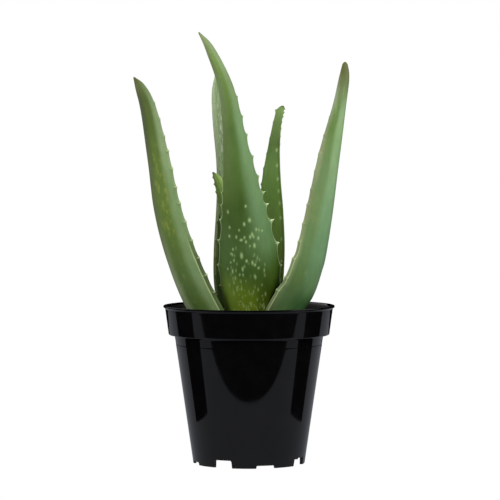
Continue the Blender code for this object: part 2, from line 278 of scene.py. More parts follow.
# The marginal teeth, on the +1 and the -1 side of the leaf: the height of each in mm, and how many
# mm they stand out at some heights.
TEETH = {
    "leaf_front": {
        1: ((38.5, 56, 75.5, 95.5, 110, 120.5, 135, 152.5, 172, 188, 205),
            ((40, 2.4), (58, 2.9), (76, 4.1), (97, 4.9), (110, 4.6), (121, 3.3), (135, 2.8), (172, 2.3),
             (205, 1.1))),
        -1: ((41, 60.5, 83, 101, 113.5, 124.5, 138, 153, 169, 187),
             ((60, 2.0), (101, 2.4), (125, 1.5), (150, 0.5), (187, 0.3))),
    },
    "leaf_left": {
        1: ((30, 46, 62, 78, 95, 112, 126.5, 143, 158, 171, 186, 200),
            ((90, 2.6), (120, 3.0), (160, 3.0), (205, 1.3))),
        -1: ((34, 52, 70, 88, 105, 121, 137, 152, 168, 184, 199), ((90, 0.6), (205, 0.3))),
    },
    "leaf_right": {
        1: ((34, 55, 74, 93, 112, 130, 147, 163, 180, 196), ((90, 0.5), (200, 0.2))),
        -1: ((29.5, 44, 61, 78, 94, 111, 125, 141, 156, 172, 188), ((90, 1.7), (150, 1.2), (200, 0.6))),
    },
    "leaf_back_left": {
        1: ((30, 46, 62, 78, 94, 110, 126, 141, 153, 165.5, 180, 194), ((100, 2.0), (160, 1.2), (205, 0.6))),
        -1: ((33, 50, 67, 84, 100, 116, 131, 145, 159, 172, 186, 200), ((100, 0.8), (160, 0.4), (205, 0.3))),
    },
    "leaf_back_right": {
        1: ((30, 46, 61, 77, 92, 107, 118, 124, 129, 143, 156, 170, 184, 194),
            ((118, 2.2), (150, 0.5), (184, 0.5), (191, 2.4), (196, 2.8))),
        -1: ((165, 172, 179, 185, 190, 194, 197.5), ((165, 0.5), (182, 1.0), (197, 1.9))),
    },
    "leaf_inner": {
        1: ((30, 42, 54, 66, 78, 90, 101, 112, 122, 133), ((60, 1.5), (136, 1.0))),
        -1: ((34, 46, 58, 70, 82, 94, 105, 116, 124, 131, 137), ((60, 1.5), (110, 1.2), (136, 1.4))),
    },
}
HOLLOW = 0.20           # how far the margin draws back between teeth, as a share of their reach
POINT_SHARE = 0.18      # how much of a tooth's reach is its sharp point
POINT_RUN = 1.1 * MM    # how long the foot of that point is
TOOTH_LEAN = 0.22       # how far a tooth leans to the leaf's tip, as a share of its reach
MARGIN_SHARE = 0.10     # the outer share of the half width that is drawn out into teeth
END_RUN = 12 * MM       # how far beyond the end teeth the margin turns plain
WANDER, RIPPLE, KEEL = 0.30 * MM, 0.14 * MM, 0.10 * MM     # how uneven the leaf's faces are
ROW_STEP = 0.6 * MM
ACROSS_STEPS = {"leaf_front": 104}
PLAIN_STEPS = 64
LINE_STEPS = 40
INNER_SHIFT = 40        # mm in the skin pattern between the outer and the inner face


def smooth_line(stations):
    """A Catmull-Rom line through the stations, with the run in metres along its middle."""
    pts = np.array(stations, float)
    pts[:, :6] *= MM
    pts[:, :3] += (*AXIS, SOIL_LEVEL)
    ends = np.vstack([2 * pts[0] - pts[1], pts, 2 * pts[-1] - pts[-2]])
    line = []
    for k in range(len(pts) - 1):
        a, b, c, d = ends[k:k + 4]
        for t in np.linspace(0, 1, LINE_STEPS, endpoint=False):
            line.append(0.5 * (2 * b + (c - a) * t + (2 * a - 5 * b + 4 * c - d) * t ** 2
                               + (3 * b - a - 3 * c + d) * t ** 3))
    line.append(pts[-1])
    line = np.array(line)
    run = np.concatenate([[0], np.cumsum(np.linalg.norm(np.diff(line[:, :3], axis=0), axis=1))])
    return line, run


def margin(teeth, reach, at, height):
    """How far the margin stands out at each row: cusps with round hollows between them."""
    marks = np.interp(teeth, height, at)
    low, high = marks[0] - END_RUN, marks[-1] + END_RUN
    marks = np.concatenate([[low], marks, [high]])
    tall = np.interp(height, *np.array(reach, float).T) * MM
    stand = np.zeros(len(at))
    for a, b in zip(marks, marks[1:]):
        part = (at >= a) & (at < b)
        # each hollow is deepest near the tooth below it, so that the teeth hook upwards
        u = 2 * ((at[part] - a) / (b - a)) ** 0.75 - 1
        arc = 1 - np.sqrt(np.clip(1 - u * u, 0, 1))
        point = np.exp(-((1 - np.abs(u)) * (b - a) / 2 / POINT_RUN) ** 1.5)
        stand[part] = (1 - POINT_SHARE) * arc + POINT_SHARE * point
    fade = smoothstep(low, marks[1], at) * (1 - smoothstep(marks[-2], high, at))
    return tall * ((1 + HOLLOW) * stand - HOLLOW) * fade


def both_faces(rows):
    """Values across the outer face, carried on round the inner face back to the start."""
    return np.concatenate([rows, rows[..., -2:0:-1]], axis=-1)


def make_leaf(leaf):
    line, run = smooth_line(LEAVES[leaf])
    length = run[-1]
    count = int(length / ROW_STEP)
    at = np.linspace(0, length, count)
    along = np.gradient(line[:, :3], axis=0)
    x, y, z, width, thickness, cup, bearing = (np.interp(at, run, line[:, j]) for j in range(7))
    forward = np.stack([np.interp(at, run, along[:, j]) for j in range(3)], 1)
    forward /= np.linalg.norm(forward, axis=1)[:, None]
    bearing = np.radians(bearing)
    outward = np.stack([np.cos(bearing), np.sin(bearing), np.zeros(count)], 1)
    outward -= forward * (outward * forward).sum(1)[:, None]
    outward /= np.linalg.norm(outward, axis=1)[:, None]
    side = np.cross(forward, outward)
    height = (z - SOIL_LEVEL) / MM

    # the tip closes in a rounded end rather than a cut one
    tip = max(0.6 * MM, width[-1] / 2)
    close = np.sqrt(np.clip(1 - (np.clip(at - (length - tip), 0, tip) / tip) ** 2, 0.02, 1))
    half = width / 2 * close
    across = np.cos(np.linspace(0, pi, ACROSS_STEPS.get(leaf, PLAIN_STEPS) + 1))
    swell = 1 - across ** 2

    # no leaf is a perfect loft: its faces wander a little along the run
    wander = WANDER * np.sin(at / MM * 0.041 + len(leaf)) + RIPPLE * np.sin(at / MM * 0.097 + 1.7)
    keel = KEEL * np.sin(across * 9.0) * swell
    teeth_out = np.zeros((count, len(across)))
    for sign in (1, -1):
        near = np.clip((across * sign - (1 - MARGIN_SHARE)) / MARGIN_SHARE, 0, 1) ** 1.6
        stand = margin(*TEETH[leaf][sign], at, height)
        teeth_out += stand[:, None] * near[None, :] * close[:, None]
    push = teeth_out * np.sign(across)
    raise_by = np.outer(cup, swell - 0.5) + np.outer(wander, swell)
    deep = np.outer(thickness / 2 * close, swell ** 0.6)
    face = (np.stack([x, y, z], 1)[:, None, :]
            + (np.outer(half, across) + push)[:, :, None] * side[:, None, :]
            + np.clip(teeth_out, 0, None)[:, :, None] * TOOTH_LEAN * forward[:, None, :])
    outer = face + (raise_by + deep + keel)[:, :, None] * outward[:, None, :]
    inner = face + (raise_by - deep)[:, :, None] * outward[:, None, :]
    points = np.concatenate([outer, inner[:, -2:0:-1]], axis=1)
    size = points.shape[1]
    piece = new_piece(leaf + "_skin", points.reshape(-1, 3), tube_faces(count, size), leaf)

    loop = both_faces(across)
    facing = np.concatenate([np.ones(len(across)), np.zeros(len(across) - 2)])
    sideways = np.outer(half / MM, loop)
    every = np.ones((count, size))
    heights = height[:, None] * every
    pattern = (sideways, at[:, None] / MM * every, every * facing * INNER_SHIFT)
    mark(
        piece,
        across=(every * loop).ravel(),
        height_share=(heights / height[-1]).ravel(),
        facing=(every * facing).ravel(),
        inset=np.outer(half / MM, 1 - np.abs(loop)).ravel(),
        tooth=np.clip(both_faces(teeth_out) / MM, 0, None).ravel(),
        skin_mm=np.stack(pattern, 2).reshape(-1, 3),
        spots=spots_on(leaf, sideways, heights, facing[None, :]).ravel(),
    )
    piece.data.materials.append(leaf_material(leaf))
    return piece


# ---- pale spots ----
# The larger spots of the front leaf: mm across from the leaf's middle, height, width, length.
FRONT_SPOTS = [
    (-14, 106, 1.6, 3.0), (2, 110, 1.6, 2.4), (4, 97, 2.4, 3.6), (-1, 94, 2.0, 3.2), (-14, 92, 1.4, 2.4),
    (-15, 84, 1.5, 2.6), (-9, 83, 1.4, 2.8), (-5, 80, 2.6, 2.2), (-1, 78, 1.6, 2.6), (-6, 89, 1.2, 2.0),
    (-2, 82, 1.4, 2.4), (3, 82, 1.6, 3.0), (5, 84, 1.8, 3.4), (6, 82, 1.2, 3.0), (9, 88, 1.4, 2.4),
    (14, 86, 1.4, 1.6), (10, 80, 1.6, 3.0), (6, 74, 2.0, 3.8), (2, 74, 1.0, 2.0), (-13, 72, 1.4, 2.2),
    (-15, 68, 1.2, 2.0), (-14, 67, 1.2, 2.6), (-6, 66, 2.2, 5.0), (-13, 62, 1.2, 2.6), (-16, 60, 1.2, 1.8),
    (-2, 61, 1.8, 2.6), (3, 59, 1.6, 3.6), (5, 57, 1.6, 2.6), (8, 54, 1.6, 2.0), (-6, 54, 1.4, 4.0),
    (-15, 52, 1.3, 4.0), (-19, 54, 1.2, 2.2), (-9, 49, 1.0, 2.0), (-6, 49, 1.0, 2.4),
]
SPOT_SIZE, SPOT_STRENGTH = 0.84, 0.62
SPOT_CORE = 0.62        # the share of a spot's half size at which it begins to fade
# Heights of the teeth on the far margin of leaf_back_right, and how far in from that edge they show.
FAR_TEETH, FAR_TEETH_IN = (159, 145, 133, 122, 111, 98, 79, 60, 44), 2.9
# How many small ones each leaf has, how high they reach and how strongly they show.
SMALL_SPOTS = {
    "leaf_front": (190, (12, 92), 0.50), "leaf_left": (46, (20, 140), 0.16),
    "leaf_right": (26, (16, 120), 0.10), "leaf_back_left": (60, (60, 200), 0.30),
    "leaf_back_right": (70, (20, 130), 0.22), "leaf_inner": (40, (20, 100), 0.25),
}


def spots_on(leaf, sideways, height, facing):
    """How strongly each point of the skin is part of a pale spot."""
    rng = np.random.default_rng(7 + sorted(LEAVES).index(leaf))
    count, (low, high), strength = SMALL_SPOTS[leaf]
    edge = np.abs(sideways).max(1)
    # each spot: place across and height, width and length, strength, and 1 on the outer face
    spots = []
    if leaf == "leaf_front":
        # they sit closer together along the leaf than the list has them
        spots += [(x, z + 1.5 + (110 - z) * 0.045, wide * SPOT_SIZE, tall * SPOT_SIZE, SPOT_STRENGTH, 1)
                  for x, z, wide, tall in FRONT_SPOTS]
    if leaf == "leaf_right":
        # a long pale scar under the tip
        spots += [(-3.0, 212, 0.9, 9.0, 0.12, 1), (-6.6, 198, 0.9, 11.0, 0.18, 1)]
    if leaf == "leaf_back_right":
        # the margin curls in, so that its teeth are seen on the inner face
        spots += [(FAR_TEETH_IN - np.interp(z, height[:, 0], edge), z, 1.7, 2.6, 0.95, 0) for z in FAR_TEETH]
    for _ in range(count):
        z = low + (high - low) * rng.beta(1.1, 1.9)
        room = np.interp(z, height[:, 0], edge) - 4.5
        x = rng.uniform(-0.85, 0.64) * room
        spots.append((x, z, rng.uniform(0.6, 1.1), rng.uniform(1.2, 3.2),
                      strength * rng.uniform(0.35, 1.0), int(rng.random() < 0.6)))
    total = np.zeros_like(height)
    for x, z, wide, tall, weight, face in spots:
        rows = np.where(np.abs(height[:, 0] - z) < tall)[0]
        if len(rows):
            rows = slice(rows[0], rows[-1] + 1)
            away = (((sideways[rows] - x) / (wide * SPOT_CORE)) ** 2
                    + ((height[rows] - z) / (tall * SPOT_CORE)) ** 2)
            total[rows] = np.maximum(total[rows], weight * np.exp(-away ** 1.4) * (facing == face))
    return total


# ---- leaf colours ----
# Outer face of each leaf: at some heights in mm, the colours of its -1 side, its middle and +1 side.
# These tones hold painted light and shade as well as each leaf's colour: the +1 tones of leaf_front,
# leaf_left and leaf_right carry a painted highlight, their darker -1 and middle tones carry painted shade,
# and the dark +1 tones low on leaf_front are the painted shadow of leaf_right.
LIT_TONES = {
    "leaf_front": [
        (0, (100, 124, 36), (108, 116, 22), (64, 74, 0)), (35, (112, 138, 50), (94, 118, 26), (46, 64, 0)),
        (58, (78, 106, 50), (60, 88, 32), (62, 88, 26)), (80, (76, 103, 54), (68, 96, 44), (90, 123, 74)),
        (110, (72, 96, 42), (62, 88, 30), (102, 136, 88)),
        (125, (86, 110, 50), (74, 102, 42), (104, 138, 89)),
        (150, (98, 121, 66), (84, 114, 52), (110, 143, 92)),
        (180, (106, 126, 74), (84, 112, 52), (112, 145, 96)),
        (215, (118, 140, 92), (106, 134, 66), (120, 145, 92)),
        (240, (118, 136, 86), (116, 146, 72), (132, 157, 106)),
        (262, (142, 158, 112), (140, 155, 106), (140, 158, 116)),
    ],
    "leaf_left": [
        (0, (162, 176, 138), (86, 114, 58), (124, 148, 100)),
        (35, (138, 154, 112), (84, 110, 52), (118, 142, 94)),
        (60, (122, 140, 96), (88, 114, 54), (116, 142, 94)),
        (95, (104, 123, 72), (96, 122, 50), (122, 149, 98)),
        (125, (98, 116, 66), (100, 125, 54), (124, 151, 100)),
        (150, (96, 112, 62), (98, 124, 54), (138, 163, 112)),
        (182, (76, 90, 50), (92, 113, 50), (136, 158, 112)),
        (200, (84, 96, 56), (92, 111, 52), (126, 150, 102)),
        (224, (114, 121, 80), (108, 120, 68), (108, 122, 72)),
    ],
    "leaf_right": [
        (0, (64, 78, 46), (70, 98, 54), (60, 92, 46)), (30, (102, 122, 78), (78, 106, 62), (66, 103, 56)),
        (50, (124, 140, 98), (86, 114, 60), (90, 124, 78)),
        (75, (132, 148, 102), (98, 128, 78), (102, 139, 95)),
        (110, (132, 148, 100), (110, 138, 84), (116, 152, 106)),
        (140, (138, 152, 110), (108, 138, 86), (130, 162, 114)),
        (165, (138, 152, 110), (106, 137, 76), (130, 163, 110)),
        (180, (126, 142, 100), (98, 128, 66), (132, 164, 110)),
        (193, (134, 150, 108), (104, 132, 72), (134, 163, 118)),
        (206, (142, 156, 124), (114, 133, 86), (114, 138, 88)),
        (218, (120, 128, 92), (106, 117, 74), (100, 115, 72)),
        (236, (102, 108, 60), (96, 104, 52), (102, 110, 66)),
    ],
    "leaf_back_left": [
        (0, (130, 150, 80), (130, 150, 80), (130, 150, 80)),
        (80, (128, 148, 84), (126, 146, 82), (128, 148, 84)),
        (120, (120, 140, 92), (114, 136, 86), (122, 142, 94)),
        (160, (124, 140, 102), (118, 136, 98), (132, 150, 110)),
        (226, (146, 162, 122), (142, 160, 118), (150, 166, 128)),
    ],
    "leaf_back_right": [
        (0, (112, 132, 58), (112, 132, 58), (112, 132, 60)),
        (45, (106, 128, 56), (106, 128, 56), (106, 128, 60)),
        (80, (100, 122, 58), (98, 120, 56), (100, 122, 60)),
        (125, (98, 124, 60), (94, 122, 58), (96, 124, 64)),
        (145, (108, 131, 82), (96, 122, 64), (98, 122, 68)),
        (165, (102, 120, 82), (78, 99, 50), (84, 104, 62)),
        (185, (112, 130, 92), (90, 108, 60), (102, 118, 74)),
        (200, (112, 134, 84), (104, 126, 74), (106, 124, 78)),
    ],
    "leaf_inner": [
        (0, (80, 104, 44), (80, 104, 44), (84, 108, 48)),
        (110, (100, 128, 60), (98, 126, 58), (112, 138, 74)),
        (140, (110, 134, 66), (108, 132, 64), (120, 144, 80)),
    ],
}
# Where, across the leaf, the -1 tone begins and is full, and the same for the +1 tone.
SIDES = {
    "leaf_front": (-0.20, -0.85, -0.12, 0.62), "leaf_left": (0.30, -0.06, 0.56, 0.86),
    "leaf_right": (-0.80, -0.96, -0.62, -0.30),
}
PLAIN_SIDES = (-0.20, -0.85, 0.00, 0.80)
# Where a margin curls in, so that a strip beyond it is seen, that strip is painted shade: its side, the
# strip's width in mm, how much of the colour the painted shade keeps, the heights in mm at which it
# begins to fade and ends, and how pale the crest beside it is.
CURL_SHADE = {
    "leaf_left": (1, 1.5, 0.50, 60, 92, 0.75), "leaf_right": (-1, 0.8, 0.50, 60, 92, 0.75),
    "leaf_back_right": (-1, 2.4, 0.74, 150, 185, 0.0),
}
# How much of its tones each leaf's pigment keeps, as the studio lights some leaves more.
PIGMENT = {
    "leaf_front": 0.64, "leaf_left": 0.62, "leaf_right": 0.66,
    "leaf_back_left": 0.85, "leaf_back_right": 1.25, "leaf_inner": 1.15,
}
# Brown at the very end of each leaf: the share of its height where it starts and is full.
TIP_BROWN = {
    "leaf_front": (0.985, 1.01), "leaf_left": (0.965, 0.995), "leaf_right": (0.93, 0.975),
    "leaf_back_left": (0.99, 1.0), "leaf_back_right": (0.985, 1.0), "leaf_inner": (0.975, 1.0),
}
# Cloudy patches of another tint: their colour, the heights in mm and then the places across the leaf
# at which they begin, are full, begin to fade and end, and how strongly they show.
PATCHES = {
    "leaf_left": ((142, 154, 70), (82, 92, 150, 176), (0.02, 0.26, 0.58, 0.80), 0.70),
    "leaf_back_left": ((184, 194, 164), (96, 110, 196, 214), (-1.2, -1.1, 0.55, 0.95), 0.70),
    "leaf_right": ((132, 128, 98), (86, 100, 176, 196), (-1.2, -1.1, -0.78, -0.55), 0.45),
}
# The horny edge: how pale it is low and high on the leaf, and the heights where that changes.
RIM = {
    "leaf_front": (0.85, 0.06, 112, 150), "leaf_left": (0.0, 0.05, 60, 110),
    "leaf_right": (0.45, 0.05, 50, 115), "leaf_back_left": (0.30, 0.10, 70, 130),
    "leaf_back_right": (0.35, 0.08, 70, 130), "leaf_inner": (0.25, 0.20, 60, 120),
}
DEEP, BRIGHT, INNER_FACE = (0.66, 0.72, 0.58, 1), (1.32, 1.24, 1.25, 1), (0.80, 0.86, 0.80, 1.0)
SPECK, SPOT, CREST = srgb(168, 186, 130), srgb(150, 174, 118), srgb(150, 166, 116)
HORNY_EDGE, TOOTH, DRY = srgb(146, 164, 120), srgb(184, 196, 148), srgb(76, 80, 44)


def pigment(leaf, tone):
    return tuple(channel * PIGMENT[leaf] for channel in srgb(*tone)[:3]) + (1.0,)


class LeafSkin(Skin):
    """The living skin of one leaf, which finds its place on the leaf from the mesh's own fields."""

    def __init__(self, leaf):
        super().__init__(leaf + "_living")
        self.leaf = leaf
        self.top = LIT_TONES[leaf][-1][0]
        self.share = self.number("height_share")
        self.across = self.number("across")
        self.inset = self.number("inset")
        self.place = self.vector("skin_mm")
        # every gradient is bent a little, so that no band is ruled
        drift = self.noise(self.place, 1.0, 2.0, 0.5, (0.05, 0.018, 0.02))
        drift = self.math("SUBTRACT", drift, 0.5)
        self.along = self.math("ADD", self.share, self.times(drift, 0.10))
        self.shift = self.math("ADD", self.across, self.times(drift, 0.35))

    def up(self, low, high, to_low=0.0, to_high=1.0):
        """A change between two heights in mm."""
        return self.span(self.share, low / self.top, high / self.top, to_low, to_high)

    def within(self, width, soft):
        """1 nearer to the leaf's margin than a width in mm, and 0 beyond it."""
        return self.math("SUBTRACT", 1.0, self.span(self.inset, width, width + soft), clamp=True)

    def tones(self):
        bands = []
        # the three bands carry painted light and shade: a painted highlight towards the +1 side, painted
        # shade in the darker bands
        for k in range(3):
            stops = [(z / self.top, pigment(self.leaf, row[k])) for z, *row in LIT_TONES[self.leaf]]
            bands.append(self.gradient(self.along, stops))
        low_from, low_full, high_from, high_full = SIDES.get(self.leaf, PLAIN_SIDES)
        colour = self.mix(self.span(self.shift, low_from, low_full), bands[1], bands[0])
        colour = self.mix(self.span(self.shift, high_from, high_full), colour, bands[2])
        return self.mix(self.number("facing"), self.tinted(bands[1], INNER_FACE), colour)

    def patches(self, colour):
        tint, heights, places, strength = PATCHES[self.leaf]
        cloudy = self.noise(self.place, 1.0, 4.0, 0.6, (0.30, 0.11, 0.1))
        here = self.times(
            self.up(*heights[:2]), self.up(*heights[2:], 1.0, 0.0),
            self.span(self.shift, *places[:2]), self.span(self.shift, *places[2:], 1.0, 0.0),
            self.span(cloudy, 0.46, 0.66, 0.0, strength),
        )
        return self.mix(here, colour, pigment(self.leaf, tint))

    def paint_curl_shade(self, colour):
        side, wide, keep, start, end, crest = CURL_SHADE[self.leaf]
        here = self.times(self.span(self.times(self.across, side), 0.3, 0.5), self.up(start, end, 1.0, 0.0))
        # the strip is painted shade, darker than the leaf, standing for the curled-in margin's outer face;
        # the pale crest beside it is the margin
        curl_shade = self.tinted(colour, (keep, keep, keep * 0.8, 1))
        strip = self.times(self.within(wide - 0.3, 0.3), here)
        beside = self.times(self.span(self.inset, wide - 0.4, wide), self.within(wide, 0.5), here, crest)
        return self.mix(beside, self.mix(strip, colour, curl_shade), CREST)


def leaf_material(leaf):
    n = LeafSkin(leaf)
    colour = n.tones()

    # fine lengthwise lines, cloudy pigment and dusty bloom
    streak = n.noise(n.place, 1.0, 5.0, 0.65, (1.3, 0.035, 1.0))
    colour = n.mix(n.span(streak, 0.40, 0.72, 0.0, 0.30), colour, n.tinted(colour, DEEP))
    cloud = n.noise(n.place, 1.0, 5.0, 0.65, (0.20, 0.07, 0.1))
    colour = n.mix(n.span(cloud, 0.40, 0.70, 0.0, 0.40), colour, n.tinted(colour, BRIGHT))
    speck = n.noise(n.place, 1.0, 2.0, 0.5, (1.9, 0.9, 1.0))
    colour = n.mix(n.span(speck, 0.66, 0.80, 0.0, 0.22), colour, SPECK)
    if leaf in PATCHES:
        colour = n.patches(colour)
    # a strip of painted shade where a margin curls in
    if leaf in CURL_SHADE:
        colour = n.paint_curl_shade(colour)

    # pale spots, the horny margin and the teeth, then the dry tip
    colour = n.mix(n.number("spots"), colour, SPOT)
    low, high, start, end = RIM[leaf]
    colour = n.mix(n.times(n.within(0.10, 0.62), n.up(start, end, low, high)), colour, HORNY_EDGE)
    colour = n.mix(n.span(n.number("tooth"), 0.4, 2.4, 0.0, 0.88), colour, TOOTH)
    colour = n.mix(n.span(n.share, *TIP_BROWN[leaf], 0.0, 0.88), colour, DRY)
    n.shader.inputs["IOR"].default_value = 1.42
    pores = n.noise(n.place, 1.0, 3.0, 0.6, (2.2, 1.1, 1.0))
    normal = n.bump(pores, 0.00008, 0.5, n.bump(streak, 0.00025, 0.5))
    return n.finish(colour, n.span(cloud, 0.2, 0.8, 0.36, 0.47), normal)


# ---- pot ----
BAND_HEIGHT, BAND_DRAFT, BAND_STEP = 26.0 * MM, 3.0 * MM, 5.2 * MM
LIP_FLARE, LIP_THICKNESS, WALL = 1.8 * MM, 2.2 * MM, 1.3 * MM
FOOT_RADIUS, FOOT_SOLE, BASE_RISE, BASE_THICKNESS = 49.5 * MM, 2.6 * MM, 8.0 * MM, 1.6 * MM
BAND_BOTTOM = POT_TOP - BAND_HEIGHT
BAND_TOP_RADIUS = LIP_RADIUS - LIP_FLARE
BAND_BOTTOM_RADIUS = BAND_TOP_RADIUS - BAND_DRAFT
BODY_TOP_RADIUS = BAND_BOTTOM_RADIUS - BAND_STEP
FLOOR = BASE_RISE + BASE_THICKNESS
LEDGE = BAND_BOTTOM + WALL
HOLES, HOLE_RING, HOLE_RADIUS = 6, 30.0 * MM, 5.0 * MM
SEAM_HEIGHT, SEAM_HALF, SEAM_STANDS = BAND_BOTTOM - 8.6 * MM, 0.35 * MM, 0.03 * MM
# The gaps in the foot: how many, half the width of one and the bearing of the first in degrees.
GAPS, GAP_HALF, FIRST_GAP = 8, 10.0, -27.5
GAP_HEIGHTS = (6.8 * MM, 2.5 * MM)
# The rounded corner of a gap: degrees past its side, and the share of its height there.
GAP_CORNER = ((-1.2, 1.0), (-0.35, 0.84), (0.12, 0.0))
PRESSED_UP_TO = 7.4 * MM        # how high over each gap the wall's rings are pressed up
BEARING_STEP = 1.25             # degrees
LONGEST, GUARD = 6 * MM, 0.35 * MM      # between rings at most, and from a corner to its first ring


def body_radius(height):
    """Outside of the tapered body at a height above the floor that the pot stands on."""
    return FOOT_RADIUS + (BODY_TOP_RADIUS - FOOT_RADIUS) * height / BAND_BOTTOM


# The lower part of the pot's inside, from its base to the ledge under the band, as radius and height.
INNER_WALL = [
    (body_radius(FLOOR) - WALL - 1.5 * MM, FLOOR),
    (body_radius(FLOOR + 3 * MM) - WALL, FLOOR + 3 * MM),
    (body_radius(LEDGE) - WALL, LEDGE - 0.8 * MM),
    (body_radius(LEDGE) - WALL + 0.6 * MM, LEDGE),
    (BAND_BOTTOM_RADIUS - WALL - 1.2 * MM, LEDGE),
]


def pot_outline():
    """The wall's section from the base, up the inside, over the lip and down: radius, height and the
    radius of each corner."""
    lip = POT_TOP - LIP_THICKNESS
    under_band = BAND_BOTTOM - 1.2 * MM
    sole = FOOT_RADIUS - FOOT_SOLE
    inside = [(*place, 0.0) for place in INNER_WALL] + [
        (BAND_BOTTOM_RADIUS - WALL, LEDGE + 1.2 * MM, 0.0),
        (BAND_TOP_RADIUS - WALL, lip - 0.6 * MM, 1.0 * MM),
        (LIP_RADIUS - 2.0 * MM, POT_TOP, 0.6 * MM),
    ]
    band = [
        (LIP_RADIUS, POT_TOP, 0.7 * MM),
        (LIP_RADIUS, POT_TOP - 1.7 * MM, 0.7 * MM),
        (BAND_TOP_RADIUS + 0.2 * MM, lip - 0.3 * MM, 0.8 * MM),
        (BAND_TOP_RADIUS, lip - 2.0 * MM, 0.5 * MM),
        (BAND_BOTTOM_RADIUS, BAND_BOTTOM, 1.1 * MM),
    ]
    body = [
        (BODY_TOP_RADIUS + 0.2 * MM, BAND_BOTTOM, 0.5 * MM),
        (body_radius(under_band), under_band, 0.8 * MM),
        (body_radius(SEAM_HEIGHT) + SEAM_STANDS / 3, SEAM_HEIGHT + SEAM_HALF, 0.0),
        (body_radius(SEAM_HEIGHT) + SEAM_STANDS, SEAM_HEIGHT, 0.0),
        (body_radius(SEAM_HEIGHT), SEAM_HEIGHT - SEAM_HALF, 0.0),
        (FOOT_RADIUS, 0.0, 0.35 * MM),
        (sole, 0.0, 0.35 * MM),
        (sole + 0.4 * MM, BASE_RISE, 0.0),
    ]
    return inside + band + body


def rounded(outline, steps=6):
    """The outline with its corners turned into small arcs."""
    out = []
    for k, (*place, corner_radius) in enumerate(outline):
        if not corner_radius:
            out.append(tuple(place))
            continue
        corner = np.array(place, float)
        back, on = np.array(outline[k - 1][:2]) - corner, np.array(outline[k + 1][:2]) - corner
        cut = min(corner_radius, 0.45 * np.linalg.norm(back), 0.45 * np.linalg.norm(on))
        start = corner + back / np.linalg.norm(back) * cut
        end = corner + on / np.linalg.norm(on) * cut
        for t in np.linspace(0, 1, steps):
            out.append(tuple((1 - t) ** 2 * start + 2 * t * (1 - t) * corner + t * t * end))
    return out


def with_rings(points):
    """The outline with extra points, so that shading stays true beside each small arc."""
    out = [points[0]]
    for a, b in zip(points, points[1:]):
        a, b = np.array(a), np.array(b)
        run = np.linalg.norm(b - a)
        if run > 3 * GUARD:
            inside = [GUARD, *np.linspace(0, run, int(run / LONGEST) + 2)[1:-1], run - GUARD]
            out += [tuple(a + (b - a) * d / run) for d in inside]
        out.append(tuple(b))
    return out


def foot_line(angle):
    """Height of the pot's lower edge at each bearing, in degrees from the front towards +X."""
    pitch = 360.0 / GAPS
    turn = (angle - FIRST_GAP + pitch / 2) % 360.0
    tall = np.where((turn // pitch).astype(int) % 2 == 0, *GAP_HEIGHTS)
    past, share = zip(*GAP_CORNER)
    return tall * np.interp(np.abs(turn % pitch - pitch / 2) - GAP_HALF, past, share)


def pot_bearings():
    """The bearings of the pot's mesh lines in degrees: evenly spaced, and closer at each gap's sides."""
    shifts = [past for past, _ in GAP_CORNER] + [-0.8, -0.1]
    sides = [
        (FIRST_GAP + 360.0 / GAPS * k + sign * (GAP_HALF + shift)) % 360.0
        for k in range(GAPS) for sign in (-1, 1) for shift in shifts
    ]
    return np.unique(np.round(np.concatenate([np.arange(0, 360, BEARING_STEP), sides]), 3))


def make_pot():
    angles = pot_bearings()
    size = len(angles)
    lower = foot_line(angles)
    turn = np.radians(angles)
    outline = with_rings(rounded(pot_outline()))
    points = [(*AXIS, FLOOR)]
    for radius, height in outline:
        z = height
        if height < PRESSED_UP_TO:
            z = lower + height * (PRESSED_UP_TO - lower) / PRESSED_UP_TO
            outer = radius > FOOT_RADIUS - FOOT_SOLE / 2
            radius = radius + (body_radius(z) - body_radius(height) if outer else 0.05 * (z - height))
        points += ring_points(radius, turn, z)
    points.append((*AXIS, BASE_RISE))
    piece = new_piece("pot_shell", points, turned_faces(len(outline), size), "pot")
    drill_base(piece)
    mark(piece, inside=on_the_inside(piece.data))
    piece.data.materials.append(pot_material())
    return piece


def on_the_inside(mesh):
    """Whether each point of the pot is on the inner wall above the ledge."""
    place = np.empty(len(mesh.vertices) * 3)
    mesh.vertices.foreach_get("co", place)
    x, y, z = place.reshape(-1, 3).T
    wall = BAND_BOTTOM_RADIUS + BAND_DRAFT * np.clip((z - BAND_BOTTOM) / BAND_HEIGHT, 0, 1)
    return (z > BAND_BOTTOM + WALL / 2) & (np.hypot(x - AXIS[0], y - AXIS[1]) < wall - WALL / 2)


def drill_base(pot):
    """The drain holes through the raised base."""
    points, faces = [], []
    sides = 32
    for hole in range(HOLES):
        turn = 2 * pi * (hole + 0.5) / HOLES
        x, y = AXIS[0] + HOLE_RING * sin(turn), AXIS[1] - HOLE_RING * cos(turn)
        start = len(points)
        for z in (BASE_RISE - 3 * MM, BASE_RISE + BASE_THICKNESS + 3 * MM):
            for k in range(sides):
                swing = 2 * pi * k / sides
                points.append((x + HOLE_RADIUS * cos(swing), y + HOLE_RADIUS * sin(swing), z))
        top = start + sides
        faces += [tuple(range(top - 1, start - 1, -1)), tuple(range(top, top + sides))]
        for k in range(sides):
            after = (k + 1) % sides
            faces.append((start + k, start + after, top + after, top + k))
    mesh = bpy.data.meshes.new("drills")
    mesh.from_pydata(points, [], faces)
    drills = bpy.data.objects.new("drills", mesh)
    bpy.context.scene.collection.objects.link(drills)
    modifier = pot.modifiers.new("drain holes", "BOOLEAN")
    modifier.operation = "DIFFERENCE"
    modifier.object = drills
    graph = bpy.context.evaluated_depsgraph_get()
    drilled = bpy.data.meshes.new_from_object(pot.evaluated_get(graph))
    pot.modifiers.clear()
    pot.data = drilled
    bpy.data.objects.remove(drills)
    drilled.shade_smooth()
    drilled.set_sharp_from_angle(angle=radians(38))


